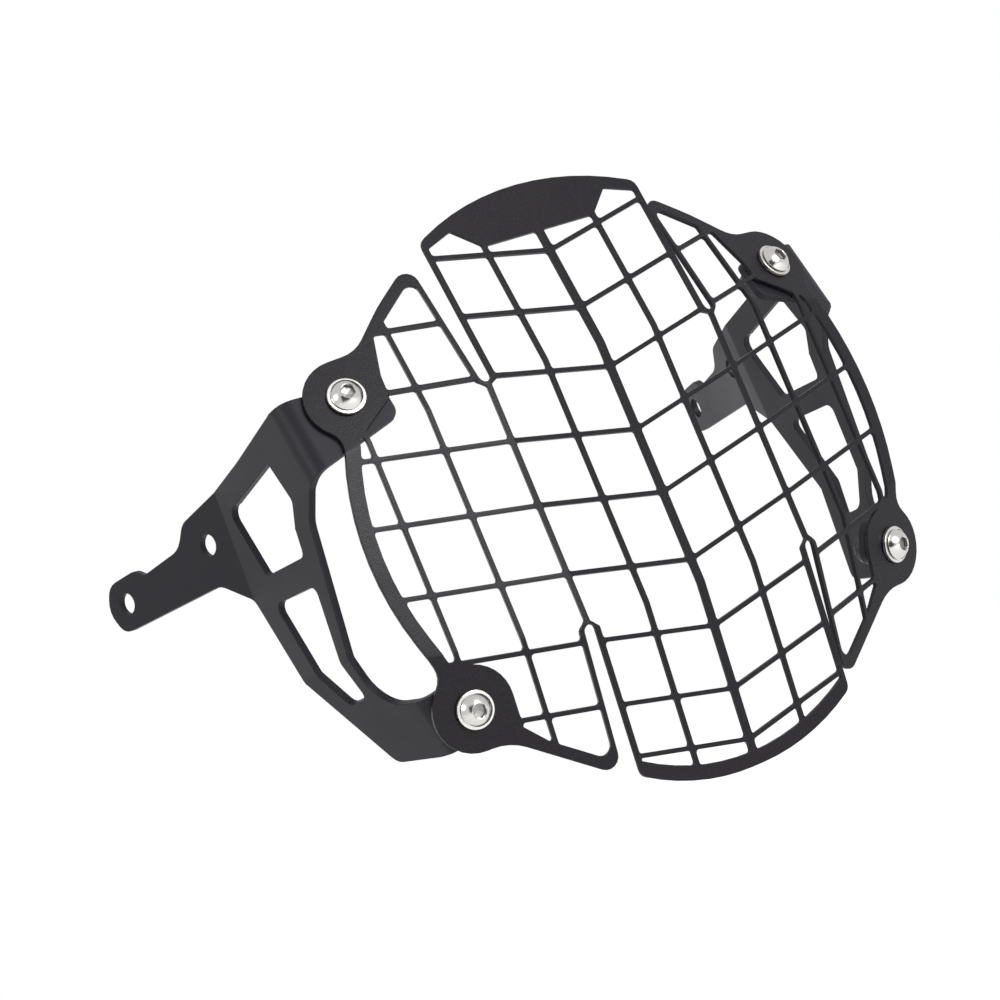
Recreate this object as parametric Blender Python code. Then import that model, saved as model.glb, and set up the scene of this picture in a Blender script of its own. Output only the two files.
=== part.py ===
# Motorcycle headlight guard: a folded steel grille with a visor, screwed to two bent side brackets.
# The front faces -Y, the headlight sits behind the grille at +Y, and Z is up.
# The origin lies midway between the rear screw holes of the two brackets, which hold the guard.
# The pieces are worked out from the crossing of the grille's centre rib and its long cross rib.
# Sizes are in millimetres and angles in degrees; the meshes are written in metres.

import bmesh
import bpy
import numpy as np
from collections import namedtuple
from math import atan2, cos, hypot, pi, radians, sin, tan
from mathutils import Matrix

# Main sizes: the spacing of the grille's screw lugs, and how far the flat bracket reaches back
LUG_SPACING = 175.0
BRACKET_LENGTH = 137.3

# Grille sheet and its ribs; the outer ribs run through the lugs
GRILLE_SHEET = 1.5
RIB_WIDTH = 1.5
CENTRE_RIB_WIDTH = 2.6
RIB_RISE = 0.2
INNER_RIB_X = 21.8
FOLD_RIB_X = 44.7
WING_RIB_X = 66.0
OUTER_RIB_X = LUG_SPACING / 2
ROWS_ABOVE = (21.2, 21.1, 20.9)
ROWS_BELOW = (21.2, 22.5, 21.7, 20.4, 16.5)
OPENING_CORNER_RADIUS = 0.9
SMALLEST_OPENING = 4.0

# Grille folds
FOLD_RADIUS = 3.0
WING_FOLD_X = 44.3
WING_FOLD_ANGLE = 11.25
UPPER_FOLD_Z = 29.4
LOWER_FOLD_Z = -51.3
VISOR_TILT = 9.8
CHIN_TILT = 9.3
UPPER_WING_TILT = 16.2
LOWER_WING_TILT = 13.9
UPPER_WING_SLOPE = 7.9
LOWER_WING_SLOPE = 9.1

# Visor and chin outline
VISOR_TOP = 87.4
VISOR_CROWN_RADIUS = 98.0
VISOR_PLATE_BOTTOM = 70.5
VISOR_WINDOW_PEAK_X = 30.6
VISOR_WINDOW_PEAK_Z = 78.3
VISOR_CORNER_Z = 77.7
CHIN_BOTTOM = -110.7
CHIN_RADIUS = 90.0
CHIN_BAND = 4.5
PANEL_CORNER_RADIUS = 3.5
PANEL_SIDE_X = 42.8

# Relief slits between the centre panel and the wings
SLIT_WIDTH = 3.8
SLIT_UPPER_END = 28.6
SLIT_LOWER_END = -51.1
SLIT_BAND = 1.65
WING_SLIT_BAND = 1.2

# Wing outline
WING_TOP_CORNER = (49.3, 75.1)
WING_TOP_BEND_INSET = 22.5
WING_TOP_BEND_Z = 63.9
WING_TOP_BEND_RADIUS = 60.0
WING_TOP_FOOT_INSET = 9.5
WING_TOP_FOOT_RADIUS = 12.0
WING_TIP_CORNER = (48.4, -98.6)
WING_TIP_FOOT_INSET = 7.5
WING_TIP_FOOT_RADIUS = 18.0
WING_CORNER_RADIUS = 4.0
WING_BAND = 3.7
RIM_BULGE = 20.0
RIM_BULGE_Z = -7.3
RIM_RADIUS = 93.0
RIM_BAND = 4.4
WAIST_BULGE = 6.7
WAIST_DROP = 12.2
WAIST_RADIUS = 6.5

# Screw lugs of the grille
UPPER_LUG_Z = 39.1
LOWER_LUG_Z = -62.3
LUG_RADIUS = 13.2
LUG_NECK_ANGLE = 43.0
LUG_ROOT = 6.6

# Side brackets: the plate, its toe-out to the rear and its lean outwards to the foot
PLATE_SHEET = 2.5
PLATE_OFFSET = 16.2
PLATE_TOE = 2.7
PLATE_LEAN = 2.1
PLATE_BEND_RADIUS = 4.0
REAR_BEND_Y = 71.5
REAR_BEND_ANGLE = 12.6
ARM_BEND_Z = -33.5
ARM_BEND_ANGLE = 22.0
UPPER_TAB_BEND_RADIUS = 5.0
LOWER_TAB_BEND_RADIUS = 5.0
TAB_REACH = 12.8
UPPER_TAB_TOP = 3.4
UPPER_TAB_FOOT = 10.5
LOWER_TAB_HALF_WIDTH = 8.3
BRACKET_HOLE = 7.0
BRACKET_HOLE_SPACING = 45.0
FRONT_HOLE_Z = 18.3
REAR_HOLE_Z = 13.6
REAR_HOLE_INSET = 9.7
REAR_PLATE_TOP = 22.2
REAR_PLATE_FOOT = 5.1

# Corners of the flat bracket: the way along it, the height and the rounding. From HIP to EYE_FOOT the way
# is measured from the rear hole, at the window's rear from the front hole, and on the lower tab from its hole.
SHOULDER = (26.2, 43.4, 10.0)
BROW = (53.0, 36.3, 60.0)
HIP = (-37.0, 28.2, 6.0)
SMALL_OF_ARM = (-31.5, 21.4, 8.0)
EYE_NECK = (-12.1, 19.3, 4.0)
EYE_FRONT = (-8.4, 4.0)
EYE_REAR = (5.4, -0.7, 6.0)
EYE_END_RADIUS = 8.0
EYE_FOOT = (5.7, 5.0)
ARM_FOOT = (84.0, 8.0)
KNEE = (71.2, -4.2, 6.0)
SHIN = (60.5, -34.0, 60.0)
HEEL = (47.6, -69.2, 4.5)
TAB_ROOT = (-17.0, 20.0)
TAB_TOE = (2.0, 4.0)
TAB_TIP = (1.0, 6.0)
TAB_BRIDGE = (2.6, -4.0, 12.0)
CROOK = (34.9, -51.1, 11.0)
THROAT = (26.4, 8.0, 7.0)
CHEST = (19.8, 16.8, 5.0)
UPPER_TAB_CORNERS = (3.0, 3.5)
WINDOW_FRONT = ((36.6, 30.6, 1.6), (31.0, 16.8, 2.5), (34.8, 9.0, 2.0), (35.7, 0.2, 2.0))
WINDOW_REAR = ((-23.2, 0.8, 2.2), (-15.0, 25.0, 3.5), (-20.6, 25.2, 8.0))
SLOT = ((35.6, -9.2, 3.0), (38.4, -46.6, 2.6), (47.8, -46.6, 2.6), (60.8, -8.2, 2.6))

# M6 hardware
CONTACT_GAP = 0.3
THREAD = 6.0
SCREW_LENGTH = 16.0
HEAD_DIAMETER = 10.1
HEAD_HEIGHT = 3.3
SOCKET_ACROSS = 4.0
SOCKET_DEPTH = 2.1
WASHER_DIAMETER = 12.0
WASHER_THICKNESS = 1.2
NUT_ACROSS = 10.0
NUT_HEX_HEIGHT = 4.6
NUT_HEIGHT = 6.2
INSERT_DIAMETER = 8.2
INSERT_HEIGHT = 1.2

Bend = namedtuple("Bend", "start across inner radius angle")
LUG_X = LUG_SPACING / 2
RIM_PEAK = (LUG_X + RIM_BULGE, RIM_BULGE_Z)
WAIST_X = LUG_X + WAIST_BULGE
WING_TOP_BEND = (LUG_X - WING_TOP_BEND_INSET, WING_TOP_BEND_Z)
WING_TOP_FOOT = (LUG_X - WING_TOP_FOOT_INSET, UPPER_LUG_Z + LUG_RADIUS)
WING_TIP_FOOT = (LUG_X - WING_TIP_FOOT_INSET, LOWER_LUG_Z - LUG_RADIUS)
PLATE_X = LUG_X + PLATE_OFFSET
REAR_HOLE = (BRACKET_LENGTH - REAR_HOLE_INSET, REAR_HOLE_Z)
FRONT_HOLE = (REAR_HOLE[0] - BRACKET_HOLE_SPACING, FRONT_HOLE_Z)
BACK = np.array((0.0, 0.0, 1.0))
CLEAR_HOLE = THREAD + 2 * CONTACT_GAP


# A path through corners, each given as x, z and the radius of its rounding. A radius that is too large
# for its edges shrinks until the roundings at both ends of an edge fit on it.
def rounded(corners, closed=True, chord=0.07):
    points = [np.array(corner[:2], float) for corner in corners]
    count = len(points)
    turns, reaches = [], []
    for i, here in enumerate(points):
        before, after = here - points[i - 1], points[(i + 1) % count] - here
        turn = abs(atan2(before[0] * after[1] - before[1] * after[0], before @ after))
        end = not closed and i in (0, count - 1)
        turns.append(0.0 if end or turn < radians(2) else turn)
        reaches.append(corners[i][2] * tan(turns[i] / 2))
    for i in range(count):
        j = (i + 1) % count
        length = np.linalg.norm(points[j] - points[i])
        if reaches[i] + reaches[j] > length:
            shrink = length / (reaches[i] + reaches[j]) * 0.999
            reaches[i] *= shrink
            reaches[j] *= shrink
    path = []
    for i, here in enumerate(points):
        if reaches[i] < 0.01:
            path.append(here)
            continue
        before, after = here - points[i - 1], points[(i + 1) % count] - here
        radius = reaches[i] / tan(turns[i] / 2)
        start = here - before / np.linalg.norm(before) * reaches[i]
        finish = here + after / np.linalg.norm(after) * reaches[i]
        inward = (start + finish) / 2 - here
        centre = here + inward / np.linalg.norm(inward) * hypot(reaches[i], radius)
        steps = max(2, int(np.ceil(turns[i] / (2 * np.arccos(1 - min(0.9, chord / radius))))))
        swing = atan2(start[1] - centre[1], start[0] - centre[0])
        way = atan2(finish[1] - centre[1], finish[0] - centre[0]) - swing
        way = (way + pi) % (2 * pi) - pi
        path += [centre + radius * np.array((cos(swing + way * k / steps), sin(swing + way * k / steps)))
                 for k in range(steps + 1)]
    return path


# The part of a polygon that lies left of the line from a to b.
def left_of(polygon, a, b):
    a, b = np.array(a, float), np.array(b, float)
    side = [(b[0] - a[0]) * (p[1] - a[1]) - (b[1] - a[1]) * (p[0] - a[0]) for p in polygon]
    kept = []
    for i, point in enumerate(polygon):
        j = i - 1
        if side[i] * side[j] < 0:
            kept.append(polygon[j] + (point - polygon[j]) * side[j] / (side[j] - side[i]))
        if side[i] >= 0:
            kept.append(point)
    return kept


def area(polygon):
    return 0.5 * sum(a[0] * b[1] - b[0] * a[1] for a, b in zip(polygon, polygon[1:] + polygon[:1]))


def mirrored(polygon):
    return [np.array((-p[0], p[1])) for p in polygon]


def circle(centre, diameter, segments=20):
    turns = [2 * pi * k / segments for k in range(segments)]
    return [np.array(centre) + diameter / 2 * np.array((cos(t), sin(t))) for t in turns]


# A flat sheet with openings, as a mesh whose points are (across, up, depth).
def blank(outline, openings, thickness):
    mesh = bmesh.new()
    edges = []
    for loop in [outline] + openings:
        ring = [mesh.verts.new((p[0], p[1], -thickness / 2)) for p in loop]
        edges += [mesh.edges.new((ring[i - 1], ring[i])) for i in range(len(ring))]
    bmesh.ops.triangle_fill(mesh, use_beauty=True, use_dissolve=False, edges=edges)
    lifted = bmesh.ops.extrude_face_region(mesh, geom=mesh.faces[:])["geom"]
    moved = [item for item in lifted if isinstance(item, bmesh.types.BMVert)]
    bmesh.ops.translate(mesh, verts=moved, vec=(0, 0, thickness))
    return mesh


# Lines are scored where a bend begins, where it ends and at even steps between.
def score(mesh, bend, chosen, steps=1):
    for k in range(steps + 1):
        place = bend.start + bend.across * bend.radius * bend.angle * k / steps
        faces = [face for face in mesh.faces if chosen(face.calc_center_median())]
        edges = {edge for face in faces for edge in face.edges}
        verts = {vert for face in faces for vert in face.verts}
        bmesh.ops.bisect_plane(mesh, geom=faces + list(edges) + list(verts), dist=0.0005,
                               plane_co=place, plane_no=bend.across)


def turned(vector, axis, angle):
    return (vector * cos(angle) + np.cross(axis, vector) * sin(angle)
            + axis * (axis @ vector) * (1 - cos(angle)))


# A fold along the line through a point, starting far enough before it for its radius.
def fold_at(point, across, inner, radius, angle):
    across = np.array(across, float) / np.linalg.norm(across)
    start = np.array(point, float) - across * radius * tan(angle / 2)
    return Bend(start, across, np.array(inner, float), radius, angle)


def bent(point, bend):
    reach = (point - bend.start) @ bend.across
    if reach <= 0:
        return point
    wrapped = min(reach, bend.radius * bend.angle)
    centre = bend.start + bend.radius * bend.inner
    axis = np.cross(bend.across, bend.inner)
    return centre + turned(point - wrapped * bend.across - centre, axis, wrapped / bend.radius)


# The way back from the far side of a bend to the flat sheet, for a point and for a direction.
def unbent(point, direction, bend):
    centre = bend.start + bend.radius * bend.inner
    axis = np.cross(bend.across, bend.inner)
    flat = centre + turned(point - centre, axis, -bend.angle) + bend.radius * bend.angle * bend.across
    return flat, turned(direction, axis, -bend.angle)


GRILLE_BENDS = {
    "visor": fold_at((0, UPPER_FOLD_Z, 0), (0, 1, 0), BACK, FOLD_RADIUS, radians(VISOR_TILT)),
    "chin": fold_at((0, LOWER_FOLD_Z, 0), (0, -1, 0), BACK, FOLD_RADIUS, radians(CHIN_TILT)),
    "upper_wing": fold_at((WING_FOLD_X, UPPER_FOLD_Z, 0),
                          (sin(radians(UPPER_WING_SLOPE)), cos(radians(UPPER_WING_SLOPE)), 0),
                          BACK, FOLD_RADIUS, radians(UPPER_WING_TILT)),
    "lower_wing": fold_at((WING_FOLD_X, LOWER_FOLD_Z, 0),
                          (sin(radians(LOWER_WING_SLOPE)), -cos(radians(LOWER_WING_SLOPE)), 0),
                          BACK, FOLD_RADIUS, radians(LOWER_WING_TILT)),
    "wing": fold_at((WING_FOLD_X, 0, 0), (1, 0, 0), BACK, FOLD_RADIUS, radians(WING_FOLD_ANGLE)),
}


# A point of the flat grille goes to its place on the folded one.
def folded_grille(point):
    side = -1.0 if point[0] < 0 else 1.0
    point = np.array((abs(point[0]), point[1], point[2]))
    for name in ("visor", "chin") if point[0] < WING_FOLD_X else ("upper_wing", "lower_wing"):
        point = bent(point, GRILLE_BENDS[name])
    point = bent(point, GRILLE_BENDS["wing"])
    return np.array((side * point[0], point[2], point[1]))


# The right half of the grille's outer edge, from the crown down to the chin.
def grille_outline():
    slit_outer = PANEL_SIDE_X + SLIT_WIDTH
    lug_side = LUG_X + LUG_RADIUS
    neck = LUG_RADIUS * tan(radians(LUG_NECK_ANGLE / 2))
    crown_x = VISOR_CROWN_RADIUS * tan(atan2(VISOR_TOP - VISOR_CORNER_Z, PANEL_SIDE_X / 2) / 2)
    chin_swing = np.arcsin(PANEL_SIDE_X / CHIN_RADIUS)
    chin_corner = CHIN_BOTTOM + CHIN_RADIUS * (1 - cos(chin_swing))
    return rounded([
        (0, VISOR_TOP, 0),
        (crown_x, VISOR_TOP, VISOR_CROWN_RADIUS),
        (PANEL_SIDE_X, VISOR_CORNER_Z, PANEL_CORNER_RADIUS),
        (PANEL_SIDE_X, SLIT_UPPER_END, SLIT_WIDTH / 2),
        (slit_outer, SLIT_UPPER_END, SLIT_WIDTH / 2),
        (*WING_TOP_CORNER, WING_CORNER_RADIUS),
        (*WING_TOP_BEND, WING_TOP_BEND_RADIUS),
        (*WING_TOP_FOOT, WING_TOP_FOOT_RADIUS),
        (lug_side, UPPER_LUG_Z + LUG_RADIUS, LUG_RADIUS),
        (lug_side, UPPER_LUG_Z - neck, LUG_RADIUS),
        (WAIST_X, UPPER_LUG_Z - WAIST_DROP, WAIST_RADIUS),
        (*RIM_PEAK, RIM_RADIUS),
        (WAIST_X, LOWER_LUG_Z + WAIST_DROP, WAIST_RADIUS),
        (lug_side, LOWER_LUG_Z + neck, LUG_RADIUS),
        (lug_side, LOWER_LUG_Z - LUG_RADIUS, LUG_RADIUS),
        (*WING_TIP_FOOT, WING_TIP_FOOT_RADIUS),
        (*WING_TIP_CORNER, WING_CORNER_RADIUS),
        (slit_outer, SLIT_LOWER_END, SLIT_WIDTH / 2),
        (PANEL_SIDE_X, SLIT_LOWER_END, SLIT_WIDTH / 2),
        (PANEL_SIDE_X, chin_corner, PANEL_CORNER_RADIUS),
        (CHIN_RADIUS * tan(chin_swing / 2), CHIN_BOTTOM, CHIN_RADIUS),
        (0, CHIN_BOTTOM, 0),
    ], closed=False)


# The open field of the centre panel's right half, inside its bands.
def centre_field():
    side = PANEL_SIDE_X - SLIT_BAND
    swing = np.arcsin(side / (CHIN_RADIUS - CHIN_BAND))
    corner = CHIN_BOTTOM + CHIN_BAND + (CHIN_RADIUS - CHIN_BAND) * (1 - cos(swing))
    chin_x = (CHIN_RADIUS - CHIN_BAND) * tan(swing / 2)
    return rounded([
        (0, CHIN_BOTTOM + CHIN_BAND, 0),
        (chin_x, CHIN_BOTTOM + CHIN_BAND, CHIN_RADIUS - CHIN_BAND),
        (side, corner, 0),
        (side, SLIT_LOWER_END - 1.5, 0),
        (FOLD_RIB_X, SLIT_LOWER_END + SLIT_BAND, 0),
        (FOLD_RIB_X, SLIT_UPPER_END - SLIT_BAND, 0),
        (side, SLIT_UPPER_END, 0),
        (side, VISOR_CORNER_Z - WING_BAND + 0.8, 0),
        (VISOR_WINDOW_PEAK_X, VISOR_WINDOW_PEAK_Z, 0),
        (INNER_RIB_X, VISOR_PLATE_BOTTOM, 0),
        (0, VISOR_PLATE_BOTTOM, 0),
    ], closed=False)


# The open field of the right wing, inside its rim and clear of its two lugs.
def wing_field():
    slit_side = PANEL_SIDE_X + SLIT_WIDTH + SLIT_BAND
    inset = RIM_BAND / cos(radians(19.3))
    top = np.array(WING_TOP_BEND) - np.array(WING_TOP_CORNER)
    normal = np.array((top[1], -top[0])) / np.linalg.norm(top) * WING_BAND
    top_corner = np.array(WING_TOP_CORNER) + normal + top * (WING_SLIT_BAND - normal[0]) / top[0]
    root = np.array(WING_TOP_BEND) + normal + np.array((7.7, -6.0))
    tip = np.array(WING_TIP_FOOT) - np.array(WING_TIP_CORNER)
    rise = np.array((-tip[1], tip[0])) / np.linalg.norm(tip) * WING_BAND
    tip_corner = np.array(WING_TIP_CORNER) + rise + tip * (WING_SLIT_BAND - rise[0]) / tip[0]
    lug_edge = LUG_X - LUG_RADIUS
    tip_end = lug_edge - LUG_ROOT
    return rounded([
        (*tip_corner, 3.0),
        (tip_end, tip_corner[1] + (tip_end - tip_corner[0]) * tip[1] / tip[0], 0),
        (lug_edge, LOWER_LUG_Z - 10.6, 0),
        (lug_edge, LOWER_LUG_Z + 9.8, LUG_RADIUS),
        (LUG_X - 3.6, LOWER_LUG_Z + LUG_RADIUS - 0.3, 0),
        (WAIST_X - 3.9, LOWER_LUG_Z + LUG_RADIUS + 1.6, 0),
        (RIM_PEAK[0] - inset, RIM_BULGE_Z, RIM_RADIUS - RIM_BAND),
        (WAIST_X - 4.6, UPPER_LUG_Z - WAIST_DROP - 1.8, 0.8),
        (lug_edge + 0.7, UPPER_LUG_Z - 4.4, 1.0),
        (lug_edge, UPPER_LUG_Z + 3.0, 8.0),
        (*root, 0),
        (*top_corner, 2.7),
        (slit_side, SLIT_UPPER_END + 1.0, 2.0),
        (FOLD_RIB_X, SLIT_UPPER_END - SLIT_BAND - 0.6, 0),
        (FOLD_RIB_X, SLIT_LOWER_END + SLIT_BAND + 0.6, 0),
        (slit_side, SLIT_LOWER_END - 1.0, 2.0),
    ])


# The openings are what the crossing ribs leave of the open fields.
def grille_openings():
    half = RIB_WIDTH / 2
    columns = ((CENTRE_RIB_WIDTH / 2, INNER_RIB_X - half), (INNER_RIB_X + half, FOLD_RIB_X - half),
               (FOLD_RIB_X + half, WING_RIB_X - half), (WING_RIB_X + half, OUTER_RIB_X - half),
               (OUTER_RIB_X + half, RIM_PEAK[0]))
    above = [sum(ROWS_ABOVE[:k]) for k in range(len(ROWS_ABOVE), 0, -1)]
    below = [-sum(ROWS_BELOW[:k]) for k in range(len(ROWS_BELOW) + 1)]
    ribs = above + below
    limits = [(ribs[0] + 60, ribs[0])] + list(zip(ribs[:-1], ribs[1:])) + [(ribs[-1], ribs[-1] - 60)]
    openings = []
    for number, (inner, outer) in enumerate(columns):
        field = centre_field() if number < 2 else wing_field()
        for upper, lower in limits:
            high = [(x, upper - half + RIB_RISE * x) for x in (inner, outer)]
            low = [(x, lower + half + RIB_RISE * x) for x in (inner, outer)]
            cell = [low[0], low[1], high[1], high[0]]
            piece = field
            for a, b in zip(cell, cell[1:] + cell[:1]):
                piece = left_of(piece, a, b) if piece else piece
            if len(piece) > 2 and area(piece) > SMALLEST_OPENING:
                openings.append(softened(piece))
    return openings


# Corners of an opening are rounded; the gentle turns of a curved edge stay.
def softened(polygon):
    clean = [p for i, p in enumerate(polygon) if np.linalg.norm(p - polygon[i - 1]) > 0.25]
    corners = []
    for i, point in enumerate(clean):
        before, after = point - clean[i - 1], clean[(i + 1) % len(clean)] - point
        turn = abs(atan2(before[0] * after[1] - before[1] * after[0], before @ after))
        corners.append((*point, OPENING_CORNER_RADIUS if turn > radians(20) else 0))
    return rounded(corners, chord=0.15)


def lug_centres():
    return {"upper": (LUG_X, UPPER_LUG_Z), "lower": (LUG_X, LOWER_LUG_Z)}


# Where a right-hand lug's mid surface ends up, and which way its back faces.
def lug_frame(name):
    x, z = lug_centres()[name]
    middle = folded_grille(np.array((x, z, 0.0)))
    return middle, folded_grille(np.array((x, z, 1.0))) - middle


def grille_mesh():
    half = grille_outline()
    outline = half + mirrored(half[-2:0:-1])
    openings = grille_openings()
    openings += [circle(centre, CLEAR_HOLE) for centre in lug_centres().values()]
    openings += [mirrored(opening) for opening in openings]
    mesh = blank(outline, openings, GRILLE_SHEET)
    for side in (1, -1):
        flip = np.array((side, 1, 1))
        wing = GRILLE_BENDS["wing"]
        score(mesh, wing._replace(start=wing.start * flip, across=wing.across * flip), lambda c: c.x * side > 0)
    edge = WING_FOLD_X
    for name in ("visor", "chin"):
        score(mesh, GRILLE_BENDS[name], lambda c: abs(c.x) < edge)
    for name in ("upper_wing", "lower_wing"):
        for side in (1, -1):
            flip = np.array((side, 1, 1))
            bend = GRILLE_BENDS[name]
            score(mesh, bend._replace(start=bend.start * flip, across=bend.across * flip),
                  lambda c: c.x * side > edge)
    for vert in mesh.verts:
        vert.co = folded_grille(np.array(vert.co)) - ORIGIN
    return mesh


# The plate's own frame: along it to the rear, up it, and square out of it.
def plate_axes():
    along = np.array((sin(radians(PLATE_TOE)), cos(radians(PLATE_TOE)), 0))
    up = np.array((-sin(radians(PLATE_LEAN)), 0, cos(radians(PLATE_LEAN))))
    out = np.cross(along, up)
    out /= np.linalg.norm(out)
    return np.stack((along, np.cross(out, along), out), 1)


PLATE_ORIGIN = np.array((PLATE_X, 0.0, 0.0))
REAR_BEND = fold_at((REAR_BEND_Y, 0, 0), (1, 0, 0), BACK, PLATE_BEND_RADIUS, radians(REAR_BEND_ANGLE))
ARM_BEND = fold_at((0, ARM_BEND_Z, 0), (0, -1, 0), -BACK, PLATE_BEND_RADIUS, radians(ARM_BEND_ANGLE))


# A tab's bend and its screw hole on the flat plate follow from the lug that it lies behind.
def tab(name, radius, through=None):
    middle, back = lug_frame(name)
    middle = middle + back * (GRILLE_SHEET / 2 + CONTACT_GAP + PLATE_SHEET / 2)
    axes = plate_axes()
    point, normal = axes.T @ (middle - PLATE_ORIGIN), axes.T @ back
    if through:
        point, normal = unbent(point, normal, through)
    crease = np.cross(BACK, normal)
    crease /= np.linalg.norm(crease)
    inward = np.cross(normal, crease)
    inward *= -np.sign(inward[2])
    corner = point - inward * point[2] / inward[2]
    across = np.cross(crease, BACK)
    across *= -np.sign(across[0])
    bend = fold_at(corner, across, -BACK, radius, np.arccos(inward @ across))
    hole, _ = unbent(point, normal, bend)
    return bend, hole[:2]


UPPER_TAB, UPPER_TAB_HOLE = tab("upper", UPPER_TAB_BEND_RADIUS)
LOWER_TAB, LOWER_TAB_HOLE = tab("lower", LOWER_TAB_BEND_RADIUS, ARM_BEND)


def folded_plate(point):
    point = bent(point, REAR_BEND)
    if point[1] > 0:
        return bent(point, UPPER_TAB)
    if point[1] < ARM_BEND_Z + 8:
        point = bent(point, LOWER_TAB)
    return bent(point, ARM_BEND)


# Midway between the brackets' rear holes, in the sheet's middle.
ORIGIN = (PLATE_ORIGIN + plate_axes() @ folded_plate(np.array((*REAR_HOLE, 0.0)))) * np.array((0, 1, 1))


# The flat plate's outline, clockwise as seen from outside, from the upper tab's end.
def plate_outline():
    reach = UPPER_TAB.across[:2]
    rise = np.array((reach[1], -reach[0]))
    upper_end = UPPER_TAB_HOLE + reach * TAB_REACH
    lower_reach = LOWER_TAB.across[:2]
    lower_rise = np.array((lower_reach[1], -lower_reach[0]))
    lower_end = LOWER_TAB_HOLE + lower_reach * TAB_REACH
    half = LOWER_TAB_HALF_WIDTH
    rear, level = REAR_HOLE
    return rounded([
        (*(upper_end + rise * UPPER_TAB_TOP), UPPER_TAB_CORNERS[0]),
        SHOULDER,
        BROW,
        (rear + HIP[0], *HIP[1:]),
        (rear + SMALL_OF_ARM[0], *SMALL_OF_ARM[1:]),
        (rear + EYE_NECK[0], *EYE_NECK[1:]),
        (rear + EYE_FRONT[0], REAR_PLATE_TOP, EYE_FRONT[1]),
        (rear + EYE_REAR[0], REAR_PLATE_TOP + EYE_REAR[1], EYE_REAR[2]),
        (BRACKET_LENGTH, level, EYE_END_RADIUS),
        (rear + EYE_FOOT[0], REAR_PLATE_FOOT, EYE_FOOT[1]),
        (ARM_FOOT[0], REAR_PLATE_FOOT, ARM_FOOT[1]),
        KNEE,
        SHIN,
        HEEL,
        (*(LOWER_TAB_HOLE - lower_rise * half + lower_reach * TAB_ROOT[0]), TAB_ROOT[1]),
        (*(lower_end - lower_rise * (half - TAB_TOE[0])), TAB_TOE[1]),
        (*(lower_end + lower_rise * (half - TAB_TIP[0])), TAB_TIP[1]),
        (*(LOWER_TAB_HOLE + lower_rise * (half + TAB_BRIDGE[0]) + lower_reach * TAB_BRIDGE[1]), TAB_BRIDGE[2]),
        CROOK,
        THROAT,
        CHEST,
        (*(upper_end - rise * UPPER_TAB_FOOT), UPPER_TAB_CORNERS[1]),
    ])


def plate_openings():
    holes = [circle(FRONT_HOLE, BRACKET_HOLE), circle(REAR_HOLE, BRACKET_HOLE),
             circle(UPPER_TAB_HOLE, CLEAR_HOLE), circle(LOWER_TAB_HOLE, CLEAR_HOLE)]
    window = list(WINDOW_FRONT) + [(FRONT_HOLE[0] + way, height, radius) for way, height, radius in WINDOW_REAR]
    return [rounded(window), rounded(SLOT)] + holes


def plate_mesh(side):
    mesh = blank(plate_outline(), plate_openings(), PLATE_SHEET)
    score(mesh, REAR_BEND, lambda c: c.x > REAR_BEND_Y - 10, 2)
    score(mesh, UPPER_TAB, lambda c: c.y > 0, 4)
    score(mesh, ARM_BEND, lambda c: c.y < 0, 2)
    score(mesh, LOWER_TAB, lambda c: c.y < ARM_BEND_Z, 5)
    axes = plate_axes()
    for vert in mesh.verts:
        vert.co = (PLATE_ORIGIN + axes @ folded_plate(np.array(vert.co)) - ORIGIN) * np.array((side, 1, 1))
    return mesh


def round_loop(radius, height, segments):
    return [(radius * cos(2 * pi * k / segments), radius * sin(2 * pi * k / segments), height)
            for k in range(segments)]


# A hexagonal loop with the same number of points as a round one; no point goes past the given radius.
def hex_loop(across, height, segments, limit=None):
    loop = []
    for k in range(segments):
        angle = 2 * pi * k / segments
        radius = across / 2 / cos((angle + pi / 6) % (pi / 3) - pi / 6)
        radius = min(radius, limit) if limit else radius
        loop.append((radius * cos(angle), radius * sin(angle), height))
    return loop


# A turned piece: loops joined one after another, closed by two end caps or back to the first loop.
def turned_mesh(loops, ring):
    mesh = bmesh.new()
    rows = [[mesh.verts.new(point) for point in loop] for loop in loops]
    pairs = list(zip(rows, rows[1:] + rows[:1]))
    for first, second in pairs if ring else pairs[:-1]:
        for k in range(len(first)):
            mesh.faces.new((first[k - 1], first[k], second[k], second[k - 1]))
    if not ring:
        mesh.faces.new(rows[0])
        mesh.faces.new(rows[-1])
    return mesh


def screw_mesh():
    n = 18
    head, thread = HEAD_DIAMETER / 2, THREAD / 2
    dome = [round_loop(head * (0.62 + 0.38 * sin(t)), HEAD_HEIGHT * (0.16 + 0.84 * cos(t)), n)
            for t in (0, pi / 5, pi / 2.9, pi / 2)]
    return turned_mesh([
        hex_loop(SOCKET_ACROSS, HEAD_HEIGHT - SOCKET_DEPTH, n),
        hex_loop(SOCKET_ACROSS, HEAD_HEIGHT, n),
        *dome,
        round_loop(head - 0.3, 0, n),
        round_loop(thread, 0, n),
        round_loop(thread, 0.6 - SCREW_LENGTH, n),
        round_loop(thread - 0.6, -SCREW_LENGTH, n),
    ], ring=False)


def washer_mesh():
    n = 18
    outer, inner = WASHER_DIAMETER / 2, CLEAR_HOLE / 2
    return turned_mesh([
        round_loop(outer, 0, n), round_loop(outer, WASHER_THICKNESS - 0.2, n),
        round_loop(outer - 0.25, WASHER_THICKNESS, n), round_loop(inner, WASHER_THICKNESS, n),
        round_loop(inner, 0, n),
    ], ring=True)


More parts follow.
